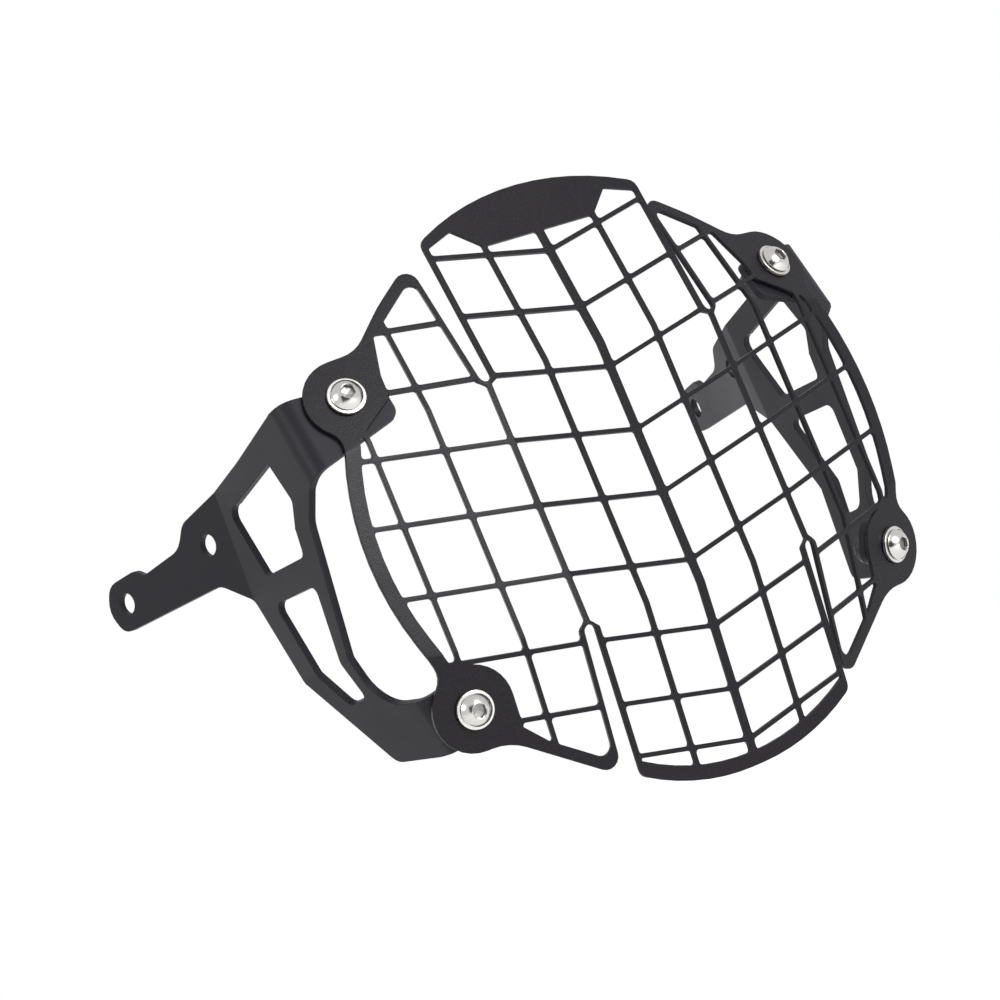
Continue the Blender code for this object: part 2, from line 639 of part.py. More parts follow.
# The lock nut: a hexagon with a round collar, bored through and recessed for its nylon ring.
def nut_mesh():
    n = 18
    bore, collar = CLEAR_HOLE / 2, NUT_ACROSS / 2 - 0.1
    recess = INSERT_DIAMETER / 2 + CONTACT_GAP
    corner = NUT_ACROSS / 2 / cos(pi / 6)
    seat = NUT_HEIGHT - INSERT_HEIGHT - CONTACT_GAP
    return turned_mesh([
        round_loop(NUT_ACROSS / 2, 0, n), hex_loop(NUT_ACROSS, 0.5, n),
        hex_loop(NUT_ACROSS, NUT_HEX_HEIGHT - 0.4, n, corner), round_loop(collar, NUT_HEX_HEIGHT, n),
        round_loop(recess + 0.3, NUT_HEIGHT, n), round_loop(recess, NUT_HEIGHT, n),
        round_loop(recess, seat, n), round_loop(bore, seat, n), round_loop(bore, 0, n),
    ], ring=True)


def insert_mesh():
    n = 18
    outer, inner = INSERT_DIAMETER / 2, CLEAR_HOLE / 2
    return turned_mesh([
        round_loop(outer, 0, n), round_loop(outer, INSERT_HEIGHT, n),
        round_loop(inner, INSERT_HEIGHT, n), round_loop(inner, 0, n),
    ], ring=True)


def material(name, colour, metallic, roughness):
    made = bpy.data.materials.new(name)
    made.use_nodes = True
    shader = made.node_tree.nodes["Principled BSDF"]
    shader.inputs["Base Color"].default_value = (*colour, 1)
    shader.inputs["Metallic"].default_value = metallic
    shader.inputs["Roughness"].default_value = roughness
    made.diffuse_color = (*colour, 1)
    return made


def add_object(name, source, finish):
    bmesh.ops.recalc_face_normals(source, faces=source.faces[:])
    mesh = bpy.data.meshes.new(name)
    source.to_mesh(mesh)
    source.free()
    mesh.materials.append(finish)
    mesh.shade_smooth()
    mesh.set_sharp_from_angle(angle=radians(25))
    made = bpy.data.objects.new(name, mesh)
    bpy.context.scene.collection.objects.link(made)
    return made


# A piece stands on a screw's axis, facing forwards or backwards, at a distance behind the lug's middle.
def place(made, lug, side, distance, forwards=True):
    middle, back = lug_frame(lug)
    flip = np.array((side, 1, 1))
    front = -back * flip * (1 if forwards else -1)
    sideways = np.cross((0, 0, 1), front)
    sideways /= np.linalg.norm(sideways)
    spot = (middle + back * distance - ORIGIN) * flip * 0.001
    frame = np.eye(4)
    frame[:3, :3] = np.stack((sideways, np.cross(front, sideways), front), 1)
    frame[:3, 3] = spot
    made.matrix_world = Matrix(frame.tolist())


def scaled(source):
    bmesh.ops.scale(source, vec=(0.001, 0.001, 0.001), verts=source.verts[:])
    return source


def build():
    for old in list(bpy.data.objects):
        bpy.data.objects.remove(old, do_unlink=True)
    powder = material("textured_black_powder_coat", (0.035, 0.034, 0.036), 0.0, 0.62)
    satin = material("satin_black_paint", (0.045, 0.045, 0.047), 0.0, 0.48)
    steel = material("stainless_steel", (0.72, 0.71, 0.69), 1.0, 0.24)
    zinc = material("zinc_plated_steel", (0.62, 0.63, 0.65), 1.0, 0.35)
    nylon = material("blue_nylon", (0.05, 0.16, 0.5), 0.0, 0.45)
    add_object("grille", scaled(grille_mesh()), powder)
    add_object("left_bracket", scaled(plate_mesh(-1)), satin)
    add_object("right_bracket", scaled(plate_mesh(1)), satin)
    washer_front = -GRILLE_SHEET / 2 - CONTACT_GAP
    head_seat = washer_front - WASHER_THICKNESS - CONTACT_GAP
    tab_back = GRILLE_SHEET / 2 + CONTACT_GAP + PLATE_SHEET
    nut_seat = tab_back + 2 * CONTACT_GAP + WASHER_THICKNESS
    insert_seat = nut_seat + NUT_HEIGHT - INSERT_HEIGHT
    for lug in ("upper", "lower"):
        for side, word in ((-1, "left"), (1, "right")):
            name = f"{lug}_{word}_"
            place(add_object(name + "screw", scaled(screw_mesh()), steel), lug, side, head_seat)
            place(add_object(name + "head_washer", scaled(washer_mesh()), steel), lug, side, washer_front)
            place(add_object(name + "nut_washer", scaled(washer_mesh()), zinc), lug, side,
                  tab_back + CONTACT_GAP, False)
            place(add_object(name + "lock_nut", scaled(nut_mesh()), zinc), lug, side, nut_seat, False)
            place(add_object(name + "nut_insert", scaled(insert_mesh()), nylon), lug, side, insert_seat, False)


build()
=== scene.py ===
import math

import bmesh
import bpy
from mathutils import Matrix, Vector


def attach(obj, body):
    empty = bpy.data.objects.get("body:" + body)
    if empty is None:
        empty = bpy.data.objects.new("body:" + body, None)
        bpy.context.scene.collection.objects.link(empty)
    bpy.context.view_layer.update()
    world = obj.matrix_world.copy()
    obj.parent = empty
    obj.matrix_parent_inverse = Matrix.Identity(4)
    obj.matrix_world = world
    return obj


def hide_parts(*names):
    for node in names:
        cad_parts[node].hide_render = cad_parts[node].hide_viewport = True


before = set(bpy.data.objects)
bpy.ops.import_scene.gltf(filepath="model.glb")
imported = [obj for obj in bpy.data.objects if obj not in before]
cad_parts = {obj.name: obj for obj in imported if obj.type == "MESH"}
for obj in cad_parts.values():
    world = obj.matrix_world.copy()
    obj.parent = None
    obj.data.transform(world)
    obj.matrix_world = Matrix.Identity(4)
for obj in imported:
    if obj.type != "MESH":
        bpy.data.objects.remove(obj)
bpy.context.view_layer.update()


# Grille. One sheet of 1.5 mm steel, laser cut into ribs, rim, visor plate and four screw lugs,
# then folded at the relief slits. It is sprayed with a black textured powder that bakes to a
# fine, hard grain and rounds the cut edges.
COAT_EDGE = 0.00016
COAT_BLACK = (0.0086, 0.0072, 0.0102, 1)
COAT_GRAIN = (0.0175, 0.0158, 0.0192, 1)

SAME_POINT = 0.000002
SAME_PLANE = math.radians(0.5)
CUT_ANGLE = math.radians(60)
CREASE_ANGLE = math.radians(50)
SLIVER = 0.00016
FLAT_WEIGHT = 90

PIP_DETAIL = 2.5
PIP_ROUGHNESS = 0.55
PIP_FOOT = 0.50
PIP_TOP = 0.72
PATCH_DETAIL = 3.0
GLOSS_FROM = 0.3
GLOSS_TO = 0.7


# Puts a finished mesh, and in the studio a lamp or a camera, into the scene as its own object.
def new_object(name, data):
    made = bpy.data.objects.new(name, data)
    bpy.context.scene.collection.objects.link(made)
    return made


# How narrow a face is, across its longest edge.
def narrowness(face):
    return 2 * face.calc_area() / max(e.calc_length() for e in face.edges)


# A copy of a folded sheet, with the coat's soft edge along every cut. Its flat faces stay flat
# between those edges, and slivers beside a fold stay sharp.
def coated_sheet(node, name, edge):
    sheet = bmesh.new()
    sheet.from_mesh(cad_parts[node].data)
    bmesh.ops.remove_doubles(sheet, verts=sheet.verts, dist=SAME_POINT)
    bmesh.ops.join_triangles(sheet, faces=sheet.faces[:], angle_face_threshold=SAME_PLANE,
                             angle_shape_threshold=math.pi)
    cut = [e for e in sheet.edges
           if len(e.link_faces) == 2 and e.calc_face_angle(0) > CUT_ANGLE
           and min(narrowness(f) for f in e.link_faces) > SLIVER]
    bmesh.ops.bevel(sheet, geom=cut, offset=edge, offset_type="OFFSET", segments=2, profile=0.5,
                    affect="EDGES", clamp_overlap=False, material=-1)
    bmesh.ops.triangulate(sheet, faces=[f for f in sheet.faces if len(f.verts) > 4])
    mesh = bpy.data.meshes.new(name)
    sheet.to_mesh(mesh)
    sheet.free()
    mesh.shade_smooth()
    mesh.set_sharp_from_angle(angle=CREASE_ANGLE)
    piece = new_object(name, mesh)
    flat = piece.modifiers.new("flat_between_edges", "WEIGHTED_NORMAL")
    flat.keep_sharp = True
    flat.weight = FLAT_WEIGHT
    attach(piece, "root")
    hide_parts(node)
    return piece


# The grain that a baked coat has: small rounded pips, and wider patches that are more matt.
def coat_grain_group():
    group = bpy.data.node_groups.new("coat_grain", "ShaderNodeTree")
    for label, start in (("Pips per Metre", 2400.0), ("Patches per Metre", 60.0)):
        socket = group.interface.new_socket(name=label, in_out="INPUT",
                                            socket_type="NodeSocketFloat")
        socket.default_value = start
    for label in ("Height", "Pip Mask", "Patch Mask"):
        group.interface.new_socket(name=label, in_out="OUTPUT", socket_type="NodeSocketFloat")
    nodes, links = group.nodes, group.links
    entry, leave = nodes.new("NodeGroupInput"), nodes.new("NodeGroupOutput")
    place = nodes.new("ShaderNodeTexCoord")
    pips = nodes.new("ShaderNodeTexNoise")
    pips.inputs["Detail"].default_value = PIP_DETAIL
    pips.inputs["Roughness"].default_value = PIP_ROUGHNESS
    links.new(place.outputs["Object"], pips.inputs["Vector"])
    links.new(entry.outputs["Pips per Metre"], pips.inputs["Scale"])
    tops = nodes.new("ShaderNodeMapRange")
    tops.interpolation_type = "SMOOTHSTEP"
    tops.inputs["From Min"].default_value = PIP_FOOT
    tops.inputs["From Max"].default_value = PIP_TOP
    links.new(pips.outputs["Fac"], tops.inputs["Value"])
    patches = nodes.new("ShaderNodeTexNoise")
    patches.inputs["Detail"].default_value = PATCH_DETAIL
    links.new(place.outputs["Object"], patches.inputs["Vector"])
    links.new(entry.outputs["Patches per Metre"], patches.inputs["Scale"])
    links.new(pips.outputs["Fac"], leave.inputs["Height"])
    links.new(tops.outputs["Result"], leave.inputs["Pip Mask"])
    links.new(patches.outputs["Fac"], leave.inputs["Patch Mask"])
    return group


coat_grain = coat_grain_group()


# A new finish, with its nodes, its links and its shader.
def new_finish(name):
    made = bpy.data.materials.new(name)
    made.use_nodes = True
    tree = made.node_tree
    return made, tree.nodes, tree.links, tree.nodes["Principled BSDF"]


# The coat's grain, placed in a finish at that finish's own scale.
def placed_grain(nodes, pips, patches):
    grain = nodes.new("ShaderNodeGroup")
    grain.node_tree = coat_grain
    grain.inputs["Pips per Metre"].default_value = pips
    grain.inputs["Patches per Metre"].default_value = patches
    return grain


# Two colours mixed by a mask.
def mixed_colour(nodes, links, mask, first, second):
    tint = nodes.new("ShaderNodeMix")
    tint.data_type = "RGBA"
    tint.inputs["A"].default_value = first
    tint.inputs["B"].default_value = second
    links.new(mask, tint.inputs["Factor"])
    return tint


# A roughness that drifts between two values with a mask.
def drifting_gloss(nodes, links, mask, rough):
    gloss = nodes.new("ShaderNodeMapRange")
    gloss.inputs["From Min"].default_value = GLOSS_FROM
    gloss.inputs["From Max"].default_value = GLOSS_TO
    gloss.inputs["To Min"].default_value = rough[0]
    gloss.inputs["To Max"].default_value = rough[1]
    links.new(mask, gloss.inputs["Value"])
    return gloss


# A fine relief on a finish, by a height that is given as a mask.
def fine_relief(nodes, links, height, strength, depth, shader):
    relief = nodes.new("ShaderNodeBump")
    relief.inputs["Strength"].default_value = strength
    relief.inputs["Distance"].default_value = depth
    links.new(height, relief.inputs["Height"])
    links.new(relief.outputs["Normal"], shader.inputs["Normal"])


# A painted finish: two near blacks mixed by the pips, and a roughness that drifts with the
# patches.
def painted_finish(name, dark, light, pips, patches, matt, depth, strength, sheen):
    made, nodes, links, shader = new_finish(name)
    grain = placed_grain(nodes, pips, patches)
    tint = mixed_colour(nodes, links, grain.outputs["Pip Mask"], dark, light)
    links.new(tint.outputs["Result"], shader.inputs["Base Color"])
    gloss = drifting_gloss(nodes, links, grain.outputs["Patch Mask"], matt)
    links.new(gloss.outputs["Result"], shader.inputs["Roughness"])
    fine_relief(nodes, links, grain.outputs["Height"], strength, depth, shader)
    shader.inputs["Specular IOR Level"].default_value = sheen
    return made


textured_coat = painted_finish("textured_black_powder_coat", COAT_BLACK, COAT_GRAIN, pips=2100,
                               patches=45, matt=(0.34, 0.43), depth=0.00008, strength=0.8,
                               sheen=0.16)
grille = coated_sheet("grille", "folded_grille", COAT_EDGE)
grille.data.materials.append(textured_coat)


# Side brackets. Each is one 2.5 mm steel plate, cut with two windows, two screw holes at the
# rear and two tabs that are bent in behind the grille's lugs. They are painted satin black,
# smoother than the grille.
PAINT_EDGE = 0.00022
PAINT_BLACK = (0.0112, 0.0102, 0.0150, 1)
PAINT_BLOOM = (0.0150, 0.0140, 0.0190, 1)

satin_paint = painted_finish("satin_black_paint", PAINT_BLACK, PAINT_BLOOM, pips=3200,
                             patches=30, matt=(0.44, 0.54), depth=0.00006, strength=0.3,
                             sheen=0.21)
for side in ("left", "right"):
    bracket = coated_sheet(f"{side}_bracket", f"{side}_side_bracket", PAINT_EDGE)
    bracket.data.materials.append(satin_paint)


# Button head screws, M6 by 16, in stainless steel. The low dome is forged and lightly polished,
# the hexagon socket is punched, and the thread is rolled. Each clamps a lug of the grille to a
# tab of the bracket.
CORNERS = ("upper_left", "upper_right", "lower_left", "lower_right")

HEAD_RADIUS = 0.00505
HEAD_HEIGHT = 0.0033
HEAD_FOOT = ((0.0003, 0), (0.00006, 0.00012), (0, 0.00034))
HEAD_RIM = 0.00025
CAP_HEIGHT = HEAD_HEIGHT - HEAD_RIM
HEAD_STEPS = 72
CAP_STEPS = 14

SOCKET_ACROSS = 0.004
SOCKET_DEPTH = 0.0021
SOCKET_CONE = 0.00045
CONE_TIP = 0.12
MOUTH_HEIGHT = 0.00272
MOUTH_DROP = 0.00016
MOUTH_OUTER = SOCKET_ACROSS / 2 * 1.22
MOUTH_INNER = SOCKET_ACROSS / 2 * 1.17

SHANK_RADIUS = 0.003
SHANK_NECK = 0.0006
SCREW_LENGTH = 0.016
SCREW_TIP = 0.0002
THREAD_PITCH = 0.001
THREAD_DEPTH = 0.0005
THREAD_STEPS = 24
ROOT_END = 0.12 * THREAD_PITCH
CREST_START = 0.46 * THREAD_PITCH
CREST_END = 0.60 * THREAD_PITCH
CREST_DROP = 0.00003

SPIN_MERGE = 0.0000005
SAME_LEVEL = 0.000001
END_FACE = 0.00001
TURNED_CREASE = math.radians(32)

STAINLESS = (0.56, 0.55, 0.535)
SPOTS_PER_METRE = 900.0
SPOT_DETAIL = 4.0
RING_DETAIL = 3.0
RING_STRENGTH = 0.5
# The socket is marked within this reach and above this height. There its colour is scaled by the
# share, which is painted shade in the recess, and its roughness is raised, as unpolished metal
# is.
SOCKET_MASK_REACH = SOCKET_ACROSS / 2 * 1.16
SOCKET_MASK_HEIGHT = 0.0005
SOCKET_SHADE_SHARE = 0.50
DULL_ROUGH = 0.25


# The middle of a solid's points.
def solid_middle(node):
    points = [v.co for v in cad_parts[node].data.vertices]
    return sum(points, Vector()) / len(points)


# A screw's axis runs from the washer under its nut to the one under its head.
def screw_axis(corner):
    return (solid_middle(f"{corner}_head_washer")
            - solid_middle(f"{corner}_nut_washer")).normalized()


# Where a turned piece stands: its z axis lies along the given one, and its highest point is at
# the end of the solid that it replaces.
def turned_place(node, axis):
    points = [v.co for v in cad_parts[node].data.vertices]
    middle = solid_middle(node)
    reach = [(p - middle).dot(axis) for p in points]
    end = max(reach) - END_FACE
    ends = [p for p, r in zip(points, reach) if r > end]
    sideways = Vector((0, 0, 1)).cross(axis).normalized()
    turn = Matrix((sideways, axis.cross(sideways), axis)).transposed().to_4x4()
    turn.translation = sum(ends, Vector()) / len(ends)
    return turn


# Draws an open profile of (radius, height) points beside the z axis.
def drawn_profile(work, profile):
    points = [work.verts.new((r, 0, z)) for r, z in profile]
    return points + [work.edges.new(pair) for pair in zip(points[:-1], points[1:])]


# Spins a profile once round the z axis.
def spun(profile, steps):
    work = bmesh.new()
    bmesh.ops.spin(work, geom=drawn_profile(work, profile), cent=(0, 0, 0), axis=(0, 0, 1),
                   angle=2 * math.pi, steps=steps, use_merge=True, use_duplicate=False)
    bmesh.ops.remove_doubles(work, verts=work.verts, dist=SPIN_MERGE)
    return work


# The open edges of a shape that lie at one height.
def open_edges(work, height):
    return [e for e in work.edges
            if e.is_boundary and all(abs(v.co.z - height) < SAME_LEVEL for v in e.verts)]


# Draws open edges out into new faces, and gives the new edges and points.
def drawn_out(work, edges):
    grown = bmesh.ops.extrude_edge_only(work, edges=edges)["geom"]
    return ([e for e in grown if isinstance(e, bmesh.types.BMEdge)],
            [v for v in grown if isinstance(v, bmesh.types.BMVert)])


# A point's angle round the axis, and how far out the flat of a hexagon lies there.
def hexagon_at(point, across):
    angle = math.atan2(point.co.y, point.co.x)
    from_flat = (angle + math.pi / 6) % (math.pi / 3) - math.pi / 6
    return angle, across / 2 / math.cos(from_flat)


# A finished turned piece. The distance from its axis is kept on the mesh for the marks that
# turning leaves.
def turned_piece(work, name, place, finish, node):
    bmesh.ops.recalc_face_normals(work, faces=work.faces)
    mesh = bpy.data.meshes.new(name)
    work.to_mesh(mesh)
    work.free()
    radii = mesh.attributes.new("from_axis", "FLOAT", "POINT")
    for i, vert in enumerate(mesh.vertices):
        radii.data[i].value = math.hypot(vert.co.x, vert.co.y)
    mesh.transform(place)
    mesh.shade_smooth()
    mesh.set_sharp_from_angle(angle=TURNED_CREASE)
    mesh.materials.append(finish)
    piece = new_object(name, mesh)
    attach(piece, "root")
    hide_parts(node)
    return piece


# Turned or forged metal: fine rings round the axis, faint handling marks, and a gloss that
# drifts. In the punched socket the metal is rougher, as unpolished metal is, and its colour is
# darker, which is painted shade in the recess.
def turned_metal(name, colour, rough, rings, ring_depth, mottle):
    made, nodes, links, shader = new_finish(name)
    shader.inputs["Metallic"].default_value = 1.0
    place = nodes.new("ShaderNodeTexCoord")
    radius = nodes.new("ShaderNodeAttribute")
    radius.attribute_name = "from_axis"
    lines = nodes.new("ShaderNodeTexNoise")
    lines.noise_dimensions = "1D"
    lines.inputs["Scale"].default_value = rings
    lines.inputs["Detail"].default_value = RING_DETAIL
    links.new(radius.outputs["Fac"], lines.inputs["W"])
    spots = nodes.new("ShaderNodeTexNoise")
    spots.inputs["Scale"].default_value = SPOTS_PER_METRE
    spots.inputs["Detail"].default_value = SPOT_DETAIL
    links.new(place.outputs["Object"], spots.inputs["Vector"])
    tint = mixed_colour(nodes, links, spots.outputs["Fac"], (*colour, 1),
                        (*[c * mottle for c in colour], 1))
    # The socket's colour is darkened here by a share: painted shade in its recess. The added
    # roughness is the unpolished metal.
    punched = nodes.new("ShaderNodeAttribute")
    punched.attribute_name = "unpolished_shaded_socket"
    socket_shade_colour = mixed_colour(nodes, links, punched.outputs["Fac"], (*colour, 1),
                          (*[c * SOCKET_SHADE_SHARE for c in colour], 1))
    links.new(tint.outputs["Result"], socket_shade_colour.inputs["A"])
    links.new(socket_shade_colour.outputs["Result"], shader.inputs["Base Color"])
    gloss = drifting_gloss(nodes, links, spots.outputs["Fac"], rough)
    rougher = nodes.new("ShaderNodeMath")
    rougher.operation = "MULTIPLY_ADD"
    rougher.inputs[1].default_value = DULL_ROUGH
    links.new(punched.outputs["Fac"], rougher.inputs[0])
    links.new(gloss.outputs["Result"], rougher.inputs[2])
    links.new(rougher.outputs["Value"], shader.inputs["Roughness"])
    fine_relief(nodes, links, lines.outputs["Fac"], RING_STRENGTH, ring_depth, shader)
    return made


# The head: a ball-shaped cap on a low rim, up to the mouth of the socket, which is slightly
# dished.
def button_head():
    profile = [(SHANK_RADIUS, 0)]
    profile += [(HEAD_RADIUS - inset, height) for inset, height in HEAD_FOOT]
    ball = (HEAD_RADIUS ** 2 + CAP_HEIGHT ** 2) / (2 * CAP_HEIGHT)
    start, finish = math.asin(HEAD_RADIUS / ball), math.asin(MOUTH_OUTER / ball)
    for k in range(1, CAP_STEPS + 1):
        t = start + (finish - start) * k / CAP_STEPS
        profile.append((ball * math.sin(t), HEAD_RIM + CAP_HEIGHT - ball * (1 - math.cos(t))))
    profile.append((MOUTH_INNER, MOUTH_HEIGHT))
    return spun(profile, HEAD_STEPS)


# The punched hexagon is drawn down from the mouth to a shallow cone. It is marked, so that it
# is rougher, as unpolished metal is, and darker in colour, which is painted shade.
def punch_socket(work):
    edges, points = drawn_out(work, open_edges(work, MOUTH_HEIGHT))
    for point in points:
        angle, reach = hexagon_at(point, SOCKET_ACROSS)
        point.co = Vector((reach * math.cos(angle), reach * math.sin(angle),
                           MOUTH_HEIGHT - MOUTH_DROP))
    for depth, size in ((SOCKET_DEPTH, 1.0), (SOCKET_DEPTH + SOCKET_CONE, CONE_TIP)):
        edges, points = drawn_out(work, edges)
        for point in points:
            point.co = Vector((point.co.x * size, point.co.y * size, HEAD_HEIGHT - depth))
    bmesh.ops.holes_fill(work, edges=edges, sides=0)
    # The mark makes the socket rougher and paints shade into its colour.
    unpolished_shaded_socket = work.verts.layers.float.new("unpolished_shaded_socket")
    for vert in work.verts:
        if vert.co.z > SOCKET_MASK_HEIGHT and math.hypot(vert.co.x, vert.co.y) < SOCKET_MASK_REACH:
            vert[unpolished_shaded_socket] = 1.0


# The smooth neck under the head, closed at its foot.
def draw_neck(work):
    edges, points = drawn_out(work, open_edges(work, 0))
    bmesh.ops.translate(work, vec=(0, 0, -SHANK_NECK), verts=points)
    bmesh.ops.holes_fill(work, edges=edges, sides=0)


# The rolled thread: one pitch of its profile winds down the axis as it is spun, and is cut off
# at the neck and at the tip.
def roll_thread(work):
    turns = round(SCREW_LENGTH / THREAD_PITCH)
    root, crest = SHANK_RADIUS - THREAD_DEPTH, SHANK_RADIUS - CREST_DROP
    thread = bmesh.new()
    outline = drawn_profile(thread, [(root, 0), (root, -ROOT_END), (crest, -CREST_START),
                                     (crest, -CREST_END), (root, -THREAD_PITCH)])
    bmesh.ops.spin(thread, geom=outline, cent=(0, 0, 0), axis=(0, 0, 1),
                   angle=2 * math.pi * turns, dvec=(0, 0, -THREAD_PITCH / THREAD_STEPS),
                   steps=THREAD_STEPS * turns, use_merge=False, use_duplicate=False)
    bmesh.ops.remove_doubles(thread, verts=thread.verts, dist=SAME_POINT)
    for height, normal in ((-SHANK_NECK, 1), (SCREW_TIP - SCREW_LENGTH, -1)):
        bmesh.ops.bisect_plane(thread, geom=thread.verts[:] + thread.edges[:] + thread.faces[:],
                               plane_co=(0, 0, height), plane_no=(0, 0, normal),
                               clear_outer=True)
        bmesh.ops.edgeloop_fill(thread, edges=open_edges(thread, height))
    spare = bpy.data.meshes.new("thread_spare")
    thread.to_mesh(spare)
    thread.free()
    work.from_mesh(spare)
    bpy.data.meshes.remove(spare)


polished_stainless = turned_metal("polished_stainless", STAINLESS, rough=(0.15, 0.26),
                                  rings=9000.0, ring_depth=0.000004, mottle=0.9)
for corner in CORNERS:
    screw = button_head()
    punch_socket(screw)
    draw_neck(screw)
    roll_thread(screw)
    place = turned_place(f"{corner}_screw", screw_axis(corner))
    place = place @ Matrix.Translation((0, 0, -HEAD_HEIGHT))
    turned_piece(screw, f"{corner}_button_head_screw", place, polished_stainless,
                 f"{corner}_screw")


# Plain washers, stamped from sheet: stainless under the heads, plated in black zinc under the
# nuts. The die leaves the outer edge rolled over on one side and the face slightly ringed.
WASHER_RADIUS = 0.006
WASHER_BORE = 0.0033
WASHER_THICKNESS = 0.0012
WASHER_STEPS = 64
ROLLED_EDGE = 0.00022
EDGE_STEPS = 4
RIM_BREAK = 0.00006
BORE_BREAK = 0.00008
BORE_LEAD = 0.00012

WASHER_STAINLESS = (0.62, 0.605, 0.58)
BLACK_ZINC = (0.050, 0.050, 0.054)

washer_stainless = turned_metal("washer_stainless", WASHER_STAINLESS, rough=(0.28, 0.40),
                                rings=6000.0, ring_depth=0.000004, mottle=0.82)
black_zinc = turned_metal("black_zinc", BLACK_ZINC, rough=(0.30, 0.46), rings=3500.0,
                          ring_depth=0.000006, mottle=0.78)


# The washer's rolled edge is on its upper side, which faces the head or the nut.
def stamped_washer():
    foot, inside = -WASHER_THICKNESS, WASHER_BORE + BORE_BREAK
    profile = [(inside, foot), (WASHER_RADIUS - RIM_BREAK, foot),
               (WASHER_RADIUS, foot + RIM_BREAK), (WASHER_RADIUS, -ROLLED_EDGE)]
    for k in range(1, EDGE_STEPS + 1):
        a = k / EDGE_STEPS * math.pi / 2
        profile.append((WASHER_RADIUS - ROLLED_EDGE + ROLLED_EDGE * math.cos(a),
                        -ROLLED_EDGE + ROLLED_EDGE * math.sin(a)))
    profile += [(WASHER_BORE + BORE_LEAD, 0), (WASHER_BORE, -BORE_LEAD),
                (WASHER_BORE, foot + BORE_BREAK), (inside, foot)]
    return spun(profile, WASHER_STEPS)


for corner in CORNERS:
    axis = screw_axis(corner)
    place = turned_place(f"{corner}_head_washer", axis)
    turned_piece(stamped_washer(), f"{corner}_washer_under_head", place, washer_stainless,
                 f"{corner}_head_washer")
    place = turned_place(f"{corner}_nut_washer", -axis)
    turned_piece(stamped_washer(), f"{corner}_washer_under_nut", place, black_zinc,
                 f"{corner}_nut_washer")


# Lock nuts, M6, cold formed and plated in black zinc. The hexagon is chamfered at both ends and
# carries a round collar, whose lip is rolled over a ring of blue nylon that grips the thread.
NUT_ACROSS = 0.010
NUT_CORNER = NUT_ACROSS / 2 / math.cos(math.pi / 6)
NUT_HEX = 0.0046
NUT_HEIGHT = 0.0062
NUT_STEPS = 72

NUT_CHAMFER = 0.0008
NUT_FACE = 0.00475
FOOT_CHAMFER = ((0, NUT_FACE), (0.00022, 0.00515), (0.0005, 0.00565))
TOP_CHAMFER = ((-0.0004, 0.0055), (0, 0.0050), (0.00004, 0.00478))
COLLAR_LIP = ((-0.0004, 0.00474), (-0.00012, 0.00466), (0, 0.0045))
LIP_DROP = 0.00012
RING_SEAT = 0.0044
SEAT_DEPTH = 0.0015

NUT_BORE = 0.0033
BORE_TOP = 0.0002
BORE_FOOT = 0.0003
HEX_INNER = 0.0047


# The hexagon's corners are cut back towards the ends, as a chamfering cone does. The nut stands
# on its foot, with the top of its collar at height 0.
def cold_formed_nut():
    foot, top = -NUT_HEIGHT, -(NUT_HEIGHT - NUT_HEX)
    rows = [(foot + rise, radius) for rise, radius in FOOT_CHAMFER]
    rows += [(foot + NUT_CHAMFER, NUT_CORNER), (top - NUT_CHAMFER, NUT_CORNER)]
    rows += [(top + rise, radius) for rise, radius in TOP_CHAMFER]
    rows += [*COLLAR_LIP, (-LIP_DROP, RING_SEAT), (-SEAT_DEPTH, RING_SEAT),
             (-SEAT_DEPTH, NUT_BORE + BORE_TOP), (-SEAT_DEPTH - BORE_TOP, NUT_BORE),
             (foot + BORE_FOOT, NUT_BORE), (foot, NUT_BORE + BORE_FOOT), (foot, NUT_FACE)]
    work = spun([(radius, height) for height, radius in rows], NUT_STEPS)
    for vert in work.verts:
        radius = math.hypot(vert.co.x, vert.co.y)
        if foot - SAME_LEVEL < vert.co.z < top + SAME_LEVEL and radius > HEX_INNER:
            angle, flat = hexagon_at(vert, NUT_ACROSS)
            reach = min(radius, flat)
            vert.co.x, vert.co.y = reach * math.cos(angle), reach * math.sin(angle)
    return work


for corner in CORNERS:
    place = turned_place(f"{corner}_lock_nut", -screw_axis(corner))
    turned_piece(cold_formed_nut(), f"{corner}_nylon_lock_nut", place, black_zinc,
                 f"{corner}_lock_nut")


# Locking rings, moulded in blue nylon and pressed into the nuts' collars. The lip is then
# rolled over them, and the thread cuts its own way through.
RING_OUTER = 0.0041
RING_BORE = 0.0033
RING_HEIGHT = 0.0012
RING_BREAK = 0.0001
RING_LEAD = 0.00015
RING_STEPS = 64

NYLON_BLUE = (0.030, 0.110, 0.420, 1)
NYLON_BLOOM = (0.050, 0.170, 0.520, 1)
NYLON_ROUGH = 0.42


# Moulded nylon: a slightly clouded blue with a faint orange-peel skin.
def nylon_finish():
    made, nodes, links, shader = new_finish("blue_nylon")
    grain = placed_grain(nodes, pips=1500, patches=400)
    tint = mixed_colour(nodes, links, grain.outputs["Patch Mask"], NYLON_BLUE, NYLON_BLOOM)
    links.new(tint.outputs["Result"], shader.inputs["Base Color"])
    shader.inputs["Roughness"].default_value = NYLON_ROUGH
    fine_relief(nodes, links, grain.outputs["Height"], strength=0.3, depth=0.00004,
                shader=shader)
    return made


# The ring is round, with a lead for the screw at its upper edge.
def nylon_ring():
    foot, inside, outside = -RING_HEIGHT, RING_BORE + RING_BREAK, RING_OUTER - RING_BREAK
    return spun([(inside, foot), (outside, foot), (RING_OUTER, foot + RING_BREAK),
                 (RING_OUTER, -RING_BREAK), (outside, 0), (RING_BORE + RING_LEAD, 0),
                 (RING_BORE, -RING_LEAD), (RING_BORE, foot + RING_BREAK), (inside, foot)],
                RING_STEPS)


